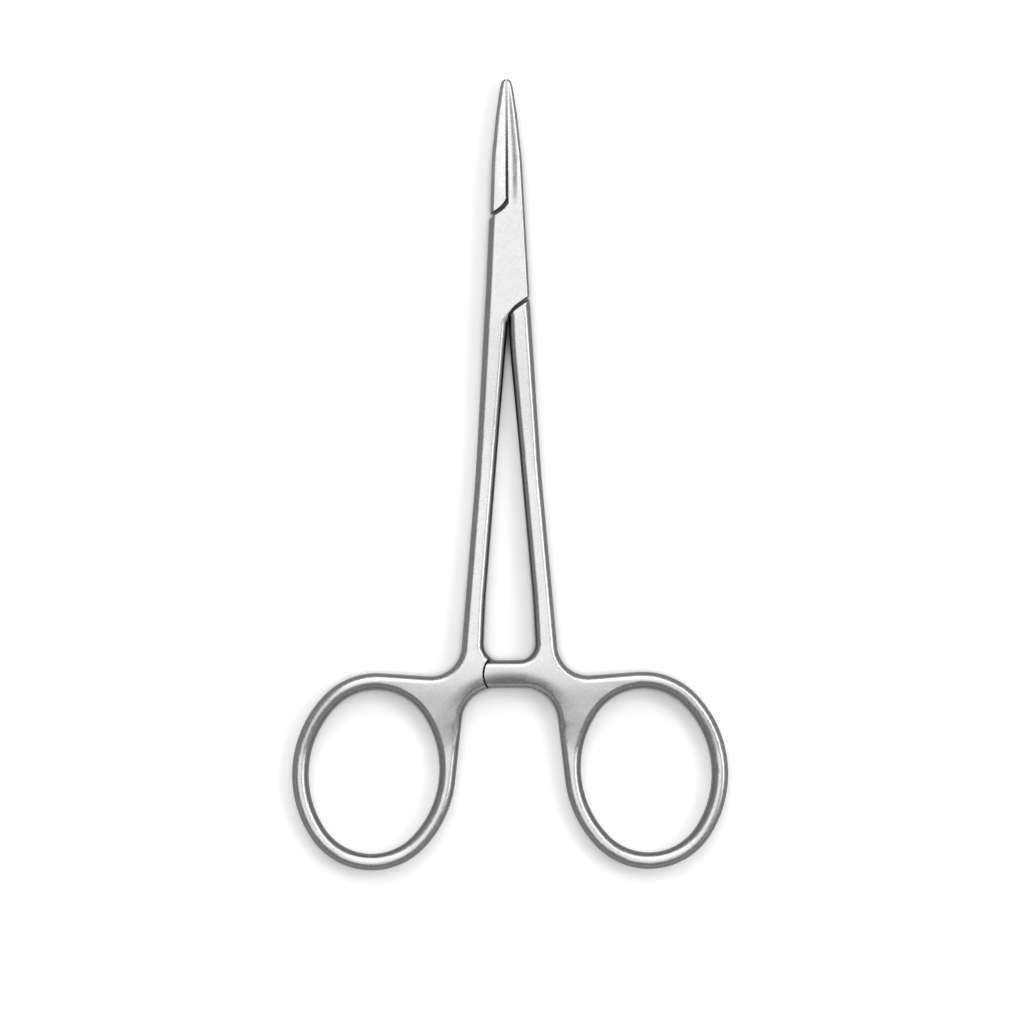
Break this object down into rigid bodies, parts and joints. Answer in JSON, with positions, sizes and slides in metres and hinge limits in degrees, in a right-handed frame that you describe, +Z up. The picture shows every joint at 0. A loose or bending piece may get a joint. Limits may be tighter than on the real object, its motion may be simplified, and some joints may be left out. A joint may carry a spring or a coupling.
{
  "type": "hemostat forceps",
  "caption": "Small straight locking clamp: slim serrated jaws, box lock with flush pin, slender shanks, ratchet arms and finger rings.",
  "frame": {"origin": "on the surface the closed instrument lies on, under the middle of its outline", "axes": "+Y from the finger rings to the jaw tips, +Z up through the instrument's thickness, +X to the right seen from above with the tips away"},
  "size_m": [0.069, 0.125, 0.0048],
  "materials": {
    "satin_steel": "satin, fine bead-blasted stainless steel",
    "pin_steel": "ground flush, satin"
  },
  "bodies": {
    "box_half": {"box_half": "satin_steel", "lock_pin": "pin_steel"},
    "through_half": {"through_half": "satin_steel"}
  },
  "joints": [
    {"name": "box_lock_hinge", "type": "hinge", "parent": "box_half", "child": "through_half", "pos_m": [0, 0.0344, 0.0024], "axis": [0, 0, 1], "range_deg": [0, 60]}
  ]
}
